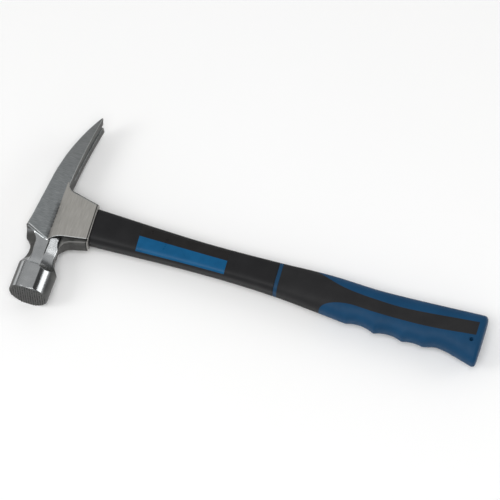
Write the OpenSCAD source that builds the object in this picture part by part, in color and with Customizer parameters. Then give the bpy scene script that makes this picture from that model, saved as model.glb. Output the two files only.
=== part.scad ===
// Framing hammer lying on its side, label up.
// X runs along the handle from the head to the butt, the striking face looks
// towards -Y, the claw towards +Y and the labelled cheek looks up.
// Sizes are worked out from the poll axis (x = 0) and the handle axis (y = 0, z = 0),
// and place() then moves everything to the middle of the hammer's box, on the ground.

/* [Poll and neck] */
// Handle axis to the striking face
face_reach = 80; // [72:1:90]
// Across the poll's rounded corners
poll_d = 36; // [34:0.5:40]
// Across the poll's flats
poll_flat = 34; // [32:0.5:36]
// Length of the poll, from the face to its shoulder
poll_len = 30; // [26:0.5:34]
// Bevel round the striking face
face_bevel = 1.4; // [0.6:0.2:2.4]
// Bevel round the poll's shoulder
back_bevel = 1.8; // [1:0.2:2.6]
// Width of the neck, across the hammer's length
neck_w = 24; // [20:0.5:28]
// Thickness of the neck, from side to side
neck_t = 19; // [16:0.5:20]
// Radius of the hollow between poll and head
neck_r = 14; // [12:0.5:16]
// Straight length of the neck on the handle's side
neck_stem = 6; // [3:0.5:8]

/* [Head] */
// Poll axis to the top of the head
top_reach = 18.2; // [17:0.2:22]
// Lean of the top edge from the poll axis, in degrees
top_lean = 6.6; // [3:0.2:9]
// Height of the crown across the top of the head
top_crown = 1.4; // [0.8:0.2:2.4]
// Width of the crown's flat
crown_w = 11; // [8:0.5:16]
// Width across the top of the head and the claw
claw_w = 26.8; // [24:0.2:30]
// Slope of the side facets, in degrees
side_slope = 8.6; // [6:0.2:10]
// Thickness across the cheeks
cheek_t = 21.2; // [20.4:0.2:23]
// Lean of each cheek, thicker towards the claw, in degrees
cheek_lean = 1; // [0:0.2:2]
// Handle axis to the cheek's edge on the face side, at the mouth
cheek_face = 16.9; // [16.5:0.1:18.5]
// Taper of that edge towards the mouth, in degrees
face_taper = 9.5; // [6:0.5:12]
// Handle axis to the cheek's edge on the claw side, at the mouth
cheek_claw = 16.6; // [16.4:0.1:18.5]
// Taper of that edge towards the mouth, in degrees
claw_taper = 13.5; // [9:0.5:16]
// How far the socket's walls stand out past the cheek
wall_out = 2; // [1.2:0.1:2.6]
// Thickness of those walls' crown, from side to side
wall_t = 16; // [14:0.5:18]
// Poll axis to the mouth of the socket
mouth_x = 33.6; // [31:0.2:37]
// Lean of the mouth and the band, in degrees
end_lean = 2.5; // [0:0.5:4]
// Radius of the cheek's edge above the neck
notch_r = 18; // [15:0.5:20]
// Turn of that edge, from straight to the point where it starts, in degrees
notch_turn = 53; // [50:0.5:56]
// Poll axis to the point between the side facet and the cheek
notch_x = 0.6; // [0:0.1:1.6]
// Rise of the shoulder edge, from that point to the top of the head, in degrees
shoulder_rise = 22; // [18:0.5:26]

/* [Claw] */
// Handle axis to the claw's tips
claw_reach = 98.8; // [90:0.2:108]
// Handle axis to where the claw starts to curve
bend_y = 30; // [26:0.5:36]
// Radius of the claw's upper side
claw_r = 176; // [165:1:200]
// Poll axis to the claw's under side at its root
root_x = 2; // [0:0.1:4]
// Lean of the under side at its root, in degrees
root_lean = 3; // [1:0.2:5]
// Radius of the claw's under side
under_r = 600; // [500:10:800]
// Fillet between the claw and the socket
fillet_r = 8; // [6:0.5:10]
// Width of the nail slot at the tips
slot_w = 6.2; // [5.4:0.2:8]
// Width of the nail slot at its root
slot_root_w = 2.4; // [1.8:0.1:3.4]
// Handle axis to the root of the nail slot
slot_y = 40; // [38:0.5:48]
// How far the tips slant back to the slot
tip_slant = 1.3; // [0.6:0.1:2]

/* [Core and bond] */
// Width of the fibreglass core
core_w = 20; // [18:0.2:22]
// Thickness of the core
core_t = 12.4; // [11:0.2:13]
// Corner radius of the core
core_r = 4; // [3:0.2:5]
// Length of core that stands in the head past the poll axis
core_in = 12; // [8:0.5:14]
// Core's end to the butt
core_short = 26; // [22:1:40]
// Bond line along the width of the eye
bond_w = 3; // [2:0.1:3.4]
// Bond line along the thickness of the eye
bond_t = 1.7; // [1.2:0.1:2]
// Depth of the bond's top below the top of the head
bond_sink = 1.2; // [0.6:0.1:2]

/* [Handle] */
// Poll axis to the butt
butt_x = 388.4; // [380:0.2:400]
// Poll axis to the waist of the handle
waist_x = 132; // [115:1:150]
// Poll axis to the front of the band
band_x = 201.6; // [190:0.2:212]
// Width of the band
band_len = 3.4; // [2:0.2:6]
// Handle axis to the back, at the mouth
back_mouth = 16.3; // [15:0.1:16.6]
// Handle axis to the back, at the waist
back_waist = 13.4; // [13:0.1:15]
// Handle axis to the back, at the band
back_band = 14.6; // [14:0.1:16]
// Handle axis to the back, at the palm swell
back_swell = 16.9; // [16:0.1:19]
// Handle axis to the back, at the saddle of the grip
back_saddle = 15.8; // [15:0.1:18]
// Handle axis to the back, at the butt
back_butt = 20.4; // [18:0.1:23]
// Handle axis to the belly, at the mouth
belly_mouth = 16.5; // [15:0.1:17]
// Handle axis to the belly, at the waist
belly_waist = 12.9; // [12.6:0.1:15]
// Handle axis to the belly, at the band
belly_band = 13.7; // [13.2:0.1:16]
// Handle axis to the belly, at the first finger ridge
belly_finger = 20.4; // [19:0.1:23]
// Handle axis to the belly, at the third finger ridge
belly_palm = 22.2; // [20:0.1:24]
// Handle axis to the belly, in front of the butt flare
belly_hollow = 18.3; // [17.5:0.1:20]
// Handle axis to the belly, at the butt
belly_butt = 27.4; // [24:0.1:30]
// Handle axis to the side, at the mouth
side_mouth = 9.4; // [9:0.1:9.8]
// Handle axis to the side, at the waist
side_waist = 8.9; // [8.6:0.1:10]
// Handle axis to the side, at the band
side_band = 10; // [9.4:0.1:11]
// Handle axis to the side, along the grip
side_grip = 12; // [11.2:0.1:13.4]
// Handle axis to the side, at the butt
side_butt = 13; // [12:0.1:14]
// Squareness of the handle's section, higher is squarer
jacket_square = 4; // [3:0.1:5]
// Squareness of the grip's section
grip_square = 2.8; // [2.4:0.1:3.4]

/* [Grip] */
// Poll axis to the palm swell
swell_x = 250; // [240:1:258]
// Poll axis to the saddle of the grip
saddle_x = 296; // [285:1:305]
// Poll axis to the first finger ridge
finger_x = 270; // [264:0.5:275]
// Width of the first and second finger hollows
finger_w = 25.5; // [23:0.5:27]
// Width of the third finger hollow
finger_last_w = 18.5; // [16:0.5:20]
// Radius of the finger hollows
finger_r = 28; // [24:1:40]
// Last finger ridge to the bottom of the hollow before the flare
flare_gap = 14; // [12:0.5:17]
// Rounding of the butt's edges
butt_round = 4; // [3:0.2:5]
// Wall of the inner sleeve over the core
sleeve_wall = 2.5; // [2:0.1:2.8]
// Length of the inner sleeve past the core's end
sleeve_end = 6; // [4:0.5:10]
// Band's end to the tip of the cover's back tongue
tongue_back = 17; // [13:0.5:22]
// Band's end to the tip of the cover's belly tongue
tongue_belly = 39.6; // [35:0.2:43]
// Length of the belly tongue's rounded nose
tongue_nose = 30; // [24:0.5:32]
// Handle axis to the side panel's upper edge, at the saddle
panel_back = 2.9; // [2:0.1:4]
// Handle axis to the side panel's upper edge, at its end
panel_back_end = 9.3; // [8:0.1:10.5]
// Handle axis to the side panel's lower edge, at the saddle
panel_belly = 8.7; // [7.5:0.1:10]
// Handle axis to the side panel's lower edge, at its end
panel_belly_end = 3.5; // [2.5:0.1:4.2]
// Side panel's end to the butt
panel_short = 6; // [5:0.5:9]
// Diameter of the hang hole
hole_d = 3.6; // [3:0.1:4.5]
// Hang hole to the butt
hole_in = 8.8; // [8:0.1:12]
// Handle axis to the hang hole
hole_y = 8.4; // [7.6:0.1:10]

/* [Label] */
// Poll axis to the front of the label
label_x = 76; // [66:0.5:84]
// Length of the label
label_len = 80.5; // [70:0.5:90]
// Thickness of the label
label_t = 0.24; // [0.15:0.01:0.4]

/* [Hidden] */
$fn = 96;
far = 200;                // past the head on every side
lap = 4;                  // how far the head's forms run into each other
sides = 32;               // sides of the handle's section
label_from = 3;           // first and last section points under the label
label_to = 11;

// Places on the head
lean_t = tan(end_lean);
top_t = tan(top_lean);
face_y = -face_reach;
shoulder_y = face_y + poll_len;
neck_gap = neck_r + neck_w / 2 - poll_d / 2 + back_bevel + face_bevel / 3;
neck_y = shoulder_y + sqrt(pow(neck_r, 2) - pow(neck_gap, 2));
notch_cx = notch_x + notch_r * sin(notch_turn);
notch_cy = face_edge(notch_cx) - notch_r / cos(face_taper);
notch_y = notch_cy + notch_r * cos(notch_turn);
side_drop = tan(side_slope);
rail_d = (claw_w - neck_t) / 2 / side_drop;
fillet_cx = root_x + fillet_r;
fillet_y = claw_edge(fillet_cx) + fillet_r / cos(claw_taper);
eye_w = core_w + 2 * bond_w;
eye_t = core_t + 2 * bond_t;
eye_r = core_r + bond_t;

// Corner of the shoulder on the crown of the head
rise_t = tan(shoulder_rise);
corner_x = (top_t * (notch_y + rise_t * notch_x) - top_reach - top_crown / cos(top_lean))
           / (1 + top_t * rise_t);
corner_y = notch_y + (notch_x - corner_x) * rise_t;

// Places along the handle
band_end = band_x + band_len;
ridge_2 = finger_x + finger_w;
ridge_3 = ridge_2 + finger_w;
ridge_4 = ridge_3 + finger_last_w;
hollow_x = ridge_4 + flare_gap;
label_end = label_x + label_len;
core_end = butt_x - core_short;
sleeve_x = core_end + sleeve_end;
panel_end = butt_x - panel_short;
hole_x = butt_x - hole_in;
sleeve_w = core_w + 2 * sleeve_wall;
sleeve_t = core_t + 2 * sleeve_wall;
sleeve_r = core_r + sleeve_wall;

// Outlines of the handle, each a list of [place along X, distance from the axis]
back_line = [[mouth_x, back_mouth], [waist_x, back_waist], [band_x, back_band],
             [swell_x, back_swell], [saddle_x, back_saddle], [butt_x, back_butt]];
belly_line = [[mouth_x, belly_mouth], [waist_x, belly_waist], [band_x, belly_band],
              [finger_x, belly_finger], [ridge_2, belly_palm], [ridge_3, belly_palm],
              [ridge_4, (belly_palm + belly_finger) / 2], [hollow_x, belly_hollow],
              [butt_x, belly_butt]];
side_line = [[mouth_x, side_mouth], [waist_x, side_waist], [band_x, side_band],
             [swell_x, side_grip], [saddle_x, side_grip], [butt_x, side_butt]];
square_line = [[mouth_x, jacket_square], [waist_x, jacket_square], [band_x, jacket_square],
               [swell_x, grip_square], [saddle_x, grip_square], [butt_x, grip_square]];
panel_back_line = [[band_end + tongue_back, back_swell + lap], [swell_x - 3 * lap, back_swell - 3.5],
                   [swell_x + 3 * lap, 2 * panel_back], [saddle_x, panel_back],
                   [ridge_3, panel_back], [panel_end, panel_back_end]];
nose_x = band_end + tongue_belly;
nose_end = nose_x + tongue_nose;
panel_belly_line = [[nose_end, 0.9 * panel_belly], [(nose_end + ridge_3) / 2, panel_belly],
                    [ridge_4, 0.91 * panel_belly], [panel_end, panel_belly_end]];

// Middle of the hammer's box
low_x = corner_x;
high_x = butt_x;
mid_x = (low_x + high_x) / 2;
mid_y = (claw_reach - face_reach) / 2;
rest_z = poll_flat / 2;

// Tapered edges of the cheek
function face_edge(x) = -cheek_face - (mouth_x - x) * tan(face_taper);
function claw_edge(x) = cheek_claw + (mouth_x - x) * tan(claw_taper);

// Smooth curve through a list of points, with the slope at each point taken from its neighbours
function slope_at(t, i) =
    let (a = max(i - 1, 0), b = min(i + 1, len(t) - 1))
    (t[b][1] - t[a][1]) / (t[b][0] - t[a][0]);
function span_of(t, x, i = 0) = (i >= len(t) - 2 || x < t[i + 1][0]) ? i : span_of(t, x, i + 1);
function curve(t, x) =
    let (
        i = span_of(t, x),
        w = t[i + 1][0] - t[i][0],
        u = (x - t[i][0]) / w,
        near = (1 + 2 * u) * pow(1 - u, 2) * t[i][1] + u * pow(1 - u, 2) * w * slope_at(t, i),
        past = u * u * (3 - 2 * u) * t[i + 1][1] - u * u * (1 - u) * w * slope_at(t, i + 1)
    )
    near + past;

// Depth of a finger hollow, an arc between two ridges
function hollow(x, a, b) =
    (x <= a || x >= b) ? 0 :
    let (half = (b - a) / 2)
    sqrt(pow(finger_r, 2) - pow(x - a - half, 2)) - sqrt(pow(finger_r, 2) - half * half);
function belly(x) =
    curve(belly_line, x) - hollow(x, finger_x, ridge_2) - hollow(x, ridge_2, ridge_3)
    - hollow(x, ridge_3, ridge_4);

// Lean of the handle's sections, which dies out along the grip so that the butt is square
function lean_at(x) = lean_t * max(0, min(1, (hollow_x - x) / (hollow_x - swell_x)));

// Section of the handle at x, shrunk by inset: a superellipse with its own back and belly
function part_of(v, n) = sign(v) * pow(abs(v), 2 / n);
function section_point(x, inset, k) =
    let (
        n = curve(square_line, x),
        a = 360 * k / sides,
        across = part_of(-cos(a), n),
        reach = across > 0 ? curve(back_line, x) : belly(x),
        y = across * (reach - inset)
    )
    [x - lean_at(x) * y, y, part_of(sin(a), n) * (curve(side_line, x) - inset)];
function section(s) = [for (k = [0 : sides - 1]) section_point(s[0], s[1], k)];
function steps(a, b, n) = [for (i = [0 : n - 1]) [a + (b - a) * i / n, 0]];
function all_points(rings) = [for (r = rings) each r];

jacket_steps = concat(steps(mouth_x, label_x, 4), steps(label_x, label_end, 8),
                      steps(label_end, band_x, 4), [[band_x, 0]]);
butt_steps = [for (a = [0 : 30 : 90]) [butt_x - butt_round * (1 - sin(a)), butt_round * (1 - cos(a))]];
grip_steps = concat(steps(band_end, finger_x, 9), steps(finger_x, ridge_2, 6),
                    steps(ridge_2, ridge_3, 6), steps(ridge_3, ridge_4, 5),
                    steps(ridge_4, hollow_x, 3), steps(hollow_x, butt_x - butt_round, 5), butt_steps);

module place() {
    translate([-mid_x, -mid_y, rest_z]) children();
}

// Solid through a row of sections
module loft(list) {
    n = len(list);
    walls = [for (i = [0 : n - 2], k = [0 : sides - 1])
        let (a = i * sides + k, b = i * sides + (k + 1) % sides)
        each [[a, b, b + sides], [a, b + sides, a + sides]]];
    front = [for (k = [0 : sides - 1]) sides - 1 - k];
    rear = [for (k = [0 : sides - 1]) (n - 1) * sides + k];
    polyhedron(points = all_points([for (s = list) section(s)]), faces = concat([front], walls, [rear]));
}

// Bar along X with a rounded section
module bar(x0, x1, w, t, r) {
    corners = [[1, 1, 0], [-1, 1, 90], [-1, -1, 180], [1, -1, 270]];
    pts = [for (c = corners, a = [0 : 15 : 90])
        [c[0] * (t / 2 - r) + r * cos(c[2] + a), c[1] * (w / 2 - r) + r * sin(c[2] + a)]];
    translate([x0, 0, 0]) rotate([0, 90, 0]) linear_extrude(x1 - x0) polygon(pts);
}

// Flat outline on the side of the hammer, drawn right through it
module side_cut(pts) {
    linear_extrude(far, center = true) polygon(pts);
}

// Everything on the head's side of the socket's mouth
module mouth_side() {
    side_cut([[-far, -far], [mouth_x + lean_t * far, -far], [mouth_x - lean_t * far, far], [-far, far]]);
}

// Poll: eight flats with rounded corners, bevelled at the face and at the shoulder
module poll() {
    wide = poll_flat / 2 / cos(22.5);
    eight = [for (k = [0 : 7]) [wide * cos(45 * k + 22.5), wide * sin(45 * k + 22.5)]];
    round = poll_d / 2;
    translate([0, shoulder_y, 0]) rotate([90, 0, 0]) {
        intersection() {
            linear_extrude(poll_len) polygon(eight);
            rotate_extrude()
                polygon([[0, 0], [round - back_bevel, 0], [round, back_bevel], [round, poll_len - face_bevel],
                         [round - face_bevel, poll_len], [0, poll_len]]);
        }
        cylinder(h = 4 * lap, d = neck_t - lap, center = true);
    }
}

// One flat of the neck: a straight stem that stands a little proud of the hollow at each of its ends
module neck_flat(turn, reach, stem, proud) {
    long = -cheek_face - shoulder_y + lap;
    rotate([0, -turn, 0]) difference() {
        translate([-far / 2, shoulder_y, -far / 2]) cube([far / 2 + reach + neck_r, long, far]);
        translate([reach + neck_r, neck_y, 0]) {
            cylinder(h = 2 * far, r = neck_r, center = true);
            if (stem > 0) {
                translate([0, stem, 0]) cylinder(h = 2 * far, r = neck_r, center = true);
                translate([proud - neck_r, 0, -far]) cube([2 * neck_r, stem, 2 * far]);
            }
        }
    }
}

// Neck: an eight-sided stem that flares into the head, with broader flats on the handle's side
module neck() {
    wide = neck_w / 2;
    thin = neck_t / 2;
    intersection() {
        intersection_for (f = [[0, wide, neck_stem, 0.06], [64, (wide + thin) * 0.435, far, 0.12],
                               [90, thin, far, 0.04], [135, (wide + thin) * 0.6, 0, 0], [180, wide, 0, 0],
                               [225, (wide + thin) * 0.6, 0, 0], [270, thin, far, 0.04],
                               [296, (wide + thin) * 0.435, far, 0.12]])
            neck_flat(f[0], f[1], f[2], f[3]);
        side_cut([[-poll_d / 2, shoulder_y], [poll_d / 2, shoulder_y],
                  [wide + neck_r, neck_y], [wide + neck_r, 0], [corner_x, 0],
                  [corner_x, corner_y], [corner_x + back_bevel, notch_y]]);
    }
}

// Outline of the head and claw on its side
module head_outline() {
    under_x = root_x + under_r * cos(root_lean);
    under_y = fillet_y - under_r * sin(root_lean);
    difference() {
        polygon([[corner_x - lap, corner_y + lap * rise_t], [notch_x, notch_y], [far, notch_y],
                 [far, claw_reach], [-far, claw_reach], [-far, corner_y + lap * rise_t]]);
        translate([notch_cx, notch_cy]) circle(r = notch_r);
        polygon([[notch_cx, notch_cy],
                 [notch_cx - notch_r * sin(face_taper), notch_cy + notch_r * cos(face_taper)],
                 [far, face_edge(far)], [far, -far], [notch_cx, -far]]);
        translate([fillet_cx, fillet_y]) circle(r = fillet_r);
        polygon([[fillet_cx, fillet_y],
                 [fillet_cx - fillet_r * sin(claw_taper), fillet_y - fillet_r * cos(claw_taper)],
                 [far, claw_edge(far)], [far, far], [fillet_cx, far]]);
        intersection() {
            translate([under_x, under_y]) circle(r = under_r, $fn = 360);
            translate([root_x - lap, fillet_y]) square(2 * far);
        }
    }
}

// Top of the head and claw: one section, straight behind the bend and then along an arc
module rail() {
    edge = claw_w / 2;
    foot = neck_t / 2;
    rail_section = [[-top_crown, -crown_w / 2], [0, -edge], [rail_d, -foot],
                    [rail_d, foot], [0, edge], [-top_crown, crown_w / 2]];
    run = bend_y / cos(top_lean);
    turn = 40;
    translate([-top_reach, 0, 0]) rotate([0, 0, -top_lean]) {
        translate([0, run, 0]) rotate([90, 0, 0]) linear_extrude(run + face_reach) polygon(rail_section);
        translate([claw_r, run, 0]) rotate([0, 0, 180 - turn])
            rotate_extrude(angle = turn, $fn = 360) polygon([for (p = rail_section) [claw_r - p[0], p[1]]]);
    }
}

// Cheeks: flat sides about the eye, leaning out a little towards the claw
module cheeks() {
    intersection() {
        linear_extrude(2 * claw_w, center = true) head_outline();
        side_cut([[notch_x - lap, notch_y], [far, notch_y], [far, fillet_y], [root_x - lap, fillet_y]]);
        rotate([cheek_lean, 0, 0]) translate([-far, -far, cheek_t / 2 - far]) cube([2 * far, 2 * far, far]);
        rotate([-cheek_lean, 0, 0]) translate([-far, -far, -cheek_t / 2]) cube([2 * far, 2 * far, far]);
        mouth_side();
    }
}

// Crowned walls of the socket, past the cheeks on the face side and the claw side
module socket_walls() {
    intersection() {
        linear_extrude(wall_t, center = true) difference() {
            polygon([[0, notch_y], [far, notch_y], [far, fillet_y], [0, fillet_y]]);
            translate([neck_w / 2 + neck_r, neck_y + neck_stem]) circle(r = neck_r);
            polygon([[notch_x, face_edge(notch_x) - wall_out], [far, face_edge(far) - wall_out],
                     [far, -far], [notch_x, -far]]);
            translate([fillet_cx, fillet_y + wall_out]) circle(r = fillet_r);
            polygon([[fillet_cx - fillet_r * sin(claw_taper),
                      fillet_y + wall_out - fillet_r * cos(claw_taper)],
                     [far, claw_edge(far) + wall_out], [far, far], [fillet_cx, far]]);
        }
        mouth_side();
    }
}

module nail_slot() {
    tip = claw_reach + lap;
    root = slot_root_w / 2;
    wide = root + (slot_w / 2 - root) * (tip - slot_y) / (claw_reach - slot_y);
    rotate([90, 0, 90]) linear_extrude(far, center = true) {
        polygon([[slot_y, -root], [tip, -wide], [tip, wide], [slot_y, root]]);
        translate([slot_y, 0]) circle(r = root);
    }
    rotate([90, 0, 90]) linear_extrude(far, center = true)
        polygon([[claw_reach + lap, -claw_w / 2], [claw_reach, -claw_w / 2], [claw_reach - tip_slant, 0],
                 [claw_reach, claw_w / 2], [claw_reach + lap, claw_w / 2]]);
}

module eye() {
    bar(-far / 2, far / 2, eye_w, eye_t, eye_r);
}

module head() {
    color("silver") place() difference() {
        union() {
            poll();
            neck();
            intersection() {
                rail();
                linear_extrude(2 * claw_w, center = true) head_outline();
            }
            cheeks();
            socket_walls();
        }
        eye();
        nail_slot();
    }
}

// Bond fills the eye round the core and over its end
module epoxy_bond() {
    top = top_reach - bond_sink;
    color("darkgoldenrod") place() difference() {
        intersection() {
            eye();
            side_cut([[-top - eye_w * top_t, -eye_w], [far, -eye_w],
                      [far, eye_w], [-top + eye_w * top_t, eye_w]]);
            mouth_side();
        }
        bar(-core_in, far, core_w, core_t, core_r);
    }
}

module fibreglass_core() {
    color("khaki") place() bar(-core_in, core_end, core_w, core_t, core_r);
}

module handle_jacket() {
    color("dimgray") place() difference() {
        loft(jacket_steps);
        bar(0, butt_x, core_w, core_t, core_r);
    }
}

module grip_band() {
    color("steelblue") place() difference() {
        loft([[band_x, 0], [band_end, 0]]);
        bar(0, butt_x, core_w, core_t, core_r);
    }
}

// Side panels and front of the grip, seen from the side
module panel_cut() {
    n = 16;
    back_x = panel_back_line[0][0];
    nose_y = panel_belly_line[0][1];
    upper = [for (i = [0 : n]) let (x = back_x + (panel_end - back_x) * i / n)
        [x, curve(panel_back_line, x)]];
    lower = [for (i = [n : -1 : 0]) let (x = nose_end + (panel_end - nose_end) * i / n)
        [x, -curve(panel_belly_line, x)]];
    nose = [for (a = [80 : -10 : 0])
        [nose_end - tongue_nose * cos(a), -nose_y - (belly_finger - nose_y) * (1 - sin(a))]];
    side_cut(concat([[band_x - lap, back_swell + lap]], upper, lower, nose,
                    [[nose_x, -belly_finger - lap], [band_x - lap, -belly_finger - lap]]));
}

module inner_sleeve() {
    bar(band_x, sleeve_x, sleeve_w, sleeve_t, sleeve_r);
}

module grip_sleeve() {
    color("dimgray") place() difference() {
        intersection() {
            loft(grip_steps);
            union() {
                panel_cut();
                inner_sleeve();
            }
        }
        bar(0, core_end, core_w, core_t, core_r);
    }
}

module grip_cover() {
    color("royalblue") place() difference() {
        loft(grip_steps);
        panel_cut();
        inner_sleeve();
        translate([hole_x, -hole_y, 0]) cylinder(h = far, d = hole_d, center = true);
    }
}

// Sticker on the upper side, laid over the jacket's own section
module side_label() {
    list = concat(steps(label_x, label_end, 8), [[label_end, 0]]);
    n = len(list);
    m = label_to - label_from + 1;
    under = [for (s = list, k = [label_from : label_to]) section_point(s[0], 0, k)];
    over = [for (s = list, k = [label_from : label_to]) section_point(s[0], -label_t, k)];
    up = n * m;
    quads = [for (i = [0 : n - 2], k = [0 : m - 2])
        [i * m + k, i * m + k + 1, (i + 1) * m + k + 1, (i + 1) * m + k]];
    rim = concat([for (k = [0 : m - 1]) k], [for (i = [1 : n - 1]) i * m + m - 1],
                 [for (k = [m - 2 : -1 : 0]) (n - 1) * m + k], [for (i = [n - 2 : -1 : 1]) i * m]);
    tops = [for (q = quads) each [[q[0] + up, q[1] + up, q[2] + up], [q[0] + up, q[2] + up, q[3] + up]]];
    bottoms = [for (q = quads) each [[q[2], q[1], q[0]], [q[3], q[2], q[0]]]];
    edges = [for (j = [0 : len(rim) - 1]) let (a = rim[j], b = rim[(j + 1) % len(rim)])
        each [[a, b, b + up], [a, b + up, a + up]]];
    color("steelblue") place()
        polyhedron(points = concat(under, over), faces = concat(tops, bottoms, edges));
}

head();
epoxy_bond();
fibreglass_core();
handle_jacket();
grip_band();
grip_sleeve();
grip_cover();
side_label();
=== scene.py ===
import math

import bpy
import numpy as np
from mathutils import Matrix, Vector


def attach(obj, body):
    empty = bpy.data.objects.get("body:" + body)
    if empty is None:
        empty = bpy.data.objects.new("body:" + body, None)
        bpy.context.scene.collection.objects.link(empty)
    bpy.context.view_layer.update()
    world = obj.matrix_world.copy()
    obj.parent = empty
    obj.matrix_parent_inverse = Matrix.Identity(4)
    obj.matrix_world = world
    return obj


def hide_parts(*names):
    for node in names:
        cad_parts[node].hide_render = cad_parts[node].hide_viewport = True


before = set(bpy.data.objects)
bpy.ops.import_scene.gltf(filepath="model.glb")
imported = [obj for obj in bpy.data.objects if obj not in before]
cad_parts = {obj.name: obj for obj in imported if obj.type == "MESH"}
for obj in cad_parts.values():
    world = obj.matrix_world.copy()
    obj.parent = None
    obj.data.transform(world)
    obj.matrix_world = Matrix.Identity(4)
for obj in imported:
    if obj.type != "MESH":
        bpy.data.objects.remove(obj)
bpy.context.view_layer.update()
print("frame:", sorted(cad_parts))

mm = 0.001
toFrame = np.array([-183.33, -9.4, 17.0])  # mm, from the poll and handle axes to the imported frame


def weld(points, faces, grain=1e-4):
    # one vertex for all grid points that lie together; quads that lose a corner become triangles
    keys = np.round(points / grain).astype(np.int64)
    _, first, where = np.unique(keys, axis=0, return_index=True, return_inverse=True)
    f = where.reshape(-1)[faces]
    same = np.stack([f[:, k] == f[:, (k + 1) % 4] for k in range(4)], axis=1)
    quads = f[~same.any(axis=1)]
    corners = np.array([[0, 2, 3], [0, 1, 3], [0, 1, 2], [0, 1, 2]])
    one = same.sum(axis=1) == 1
    lost = np.argmax(same[one], axis=1)
    tris = np.take_along_axis(f[one], corners[lost], axis=1)
    used = np.unique(np.concatenate([quads.ravel(), tris.ravel()]))
    place = np.zeros(len(first), np.int64)
    place[used] = np.arange(len(used))
    return points[first][used], place[quads], place[tris]


def gridFaces(rows, cols, closeRows=False, closeCols=False):
    # quads of a rows x cols grid of points, joined end to end where it closes
    r = np.arange(rows if closeRows else rows - 1)[:, None]
    c = np.arange(cols if closeCols else cols - 1)[None, :]
    rn, cn = (r + 1) % rows, (c + 1) % cols
    quad = [r * cols + c, r * cols + cn, rn * cols + cn, rn * cols + c]
    return np.stack([np.broadcast_to(q, (r.size, c.size)).ravel() for q in quad], axis=1)


def makePiece(name, points, quads, tris, material, slot, replaced=None, normals=None):
    # points are in mm about the poll and handle axes, and are put into the frame here
    mesh = bpy.data.meshes.new(name)
    mesh.from_pydata(((points + toFrame) * mm).tolist(), [], quads.tolist() + tris.tolist())
    mesh.update()
    mesh.shade_smooth()
    if normals is not None:
        mesh.normals_split_custom_set_from_vertices(normals.tolist())
    mesh.materials.append(material)
    piece = bpy.data.objects.new(name, mesh)
    bpy.context.scene.collection.objects.link(piece)
    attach(piece, "root")
    if replaced:
        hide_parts(replaced)
    print(name, len(points), "points", len(quads) + len(tris), "faces")
    return piece


def giveAttribute(piece, name, values):
    # one number for each point, for the material to read
    layer = piece.data.attributes.new(name, "FLOAT", "POINT")
    layer.data.foreach_set("value", np.asarray(values, np.float32))


def smoothCurve(stations, x):
    # cubic through the stations, with the slope at each taken from its two neighbours
    t = np.asarray(stations, float)
    px, pv = t[:, 0], t[:, 1]
    lo, hi = np.maximum(np.arange(len(t)) - 1, 0), np.minimum(np.arange(len(t)) + 1, len(t) - 1)
    slope = (pv[hi] - pv[lo]) / (px[hi] - px[lo])
    i = np.clip(np.searchsorted(px, x, side="right") - 1, 0, len(t) - 2)
    w = px[i + 1] - px[i]
    u = (x - px[i]) / w
    near = (1 + 2 * u) * (1 - u) ** 2 * pv[i] + u * (1 - u) ** 2 * w * slope[i]
    return near + u * u * (3 - 2 * u) * pv[i + 1] - u * u * (1 - u) * w * slope[i + 1]


def ease(a, b, x):
    u = np.clip((x - a) / (b - a), 0, 1)
    return u * u * (3 - 2 * u)


class Finish:
    # a material whose nodes are added one by one
    def __init__(self, name):
        self.material = bpy.data.materials.new(name)
        self.material.use_nodes = True
        self.tree = self.material.node_tree
        self.shader = self.tree.nodes["Principled BSDF"]
        self.coords = self.tree.nodes.new("ShaderNodeTexCoord").outputs["Object"]

    def node(self, kind, **inputs):
        made = self.tree.nodes.new(kind)
        for key, value in inputs.items():
            self.feed(made.inputs[int(key[1:]) if key[0] == "i" and key[1:].isdigit() else key], value)
        return made

    def feed(self, socket, value):
        if isinstance(value, bpy.types.NodeSocket):
            self.tree.links.new(value, socket)
        else:
            socket.default_value = value

    def stretched(self, scale, turn=(0, 0, 0)):
        made = self.node("ShaderNodeMapping", Vector=self.coords)
        made.inputs["Scale"].default_value = scale
        made.inputs["Rotation"].default_value = turn
        return made.outputs["Vector"]

    def noise(self, vector, scale, detail=3.0, rough=0.55):
        return self.node("ShaderNodeTexNoise", Vector=vector, Scale=scale, Detail=detail,
                         Roughness=rough).outputs["Fac"]

    def span(self, value, fromLo, fromHi, toLo, toHi):
        made = self.node("ShaderNodeMapRange", i0=value, i1=fromLo, i2=fromHi, i3=toLo, i4=toHi)
        return made.outputs["Result"]

    def mix(self, share, a, b):
        made = self.tree.nodes.new("ShaderNodeMix")
        made.data_type = "RGBA"
        for socket, value in ((made.inputs[0], share), (made.inputs[6], a), (made.inputs[7], b)):
            self.feed(socket, value)
        return made.outputs[2]

    def math(self, kind, a, b):
        made = self.tree.nodes.new("ShaderNodeMath")
        made.operation = kind
        self.feed(made.inputs[0], a)
        self.feed(made.inputs[1], b)
        return made.outputs[0]

    def dot(self, way):
        made = self.node("ShaderNodeVectorMath", i0=self.coords, i1=way)
        made.operation = "DOT_PRODUCT"
        return made.outputs["Value"]

    def attribute(self, name):
        made = self.tree.nodes.new("ShaderNodeAttribute")
        made.attribute_name = name
        return made.outputs["Fac"]

    def bump(self, height, strength, distance, under=None):
        made = self.node("ShaderNodeBump", Height=height, Strength=strength, Distance=distance)
        if under is not None:
            self.feed(made.inputs["Normal"], under)
        return made.outputs["Normal"]

    def put(self, **values):
        for key, value in values.items():
            self.feed(self.shader.inputs[key], value)
        return self.material


view = {"target": (-12.55, 11.24, 17.0), "azimuth": 17.596, "elevation": 64.5,
        "distance": 2800.5, "lens": 230.4}


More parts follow.
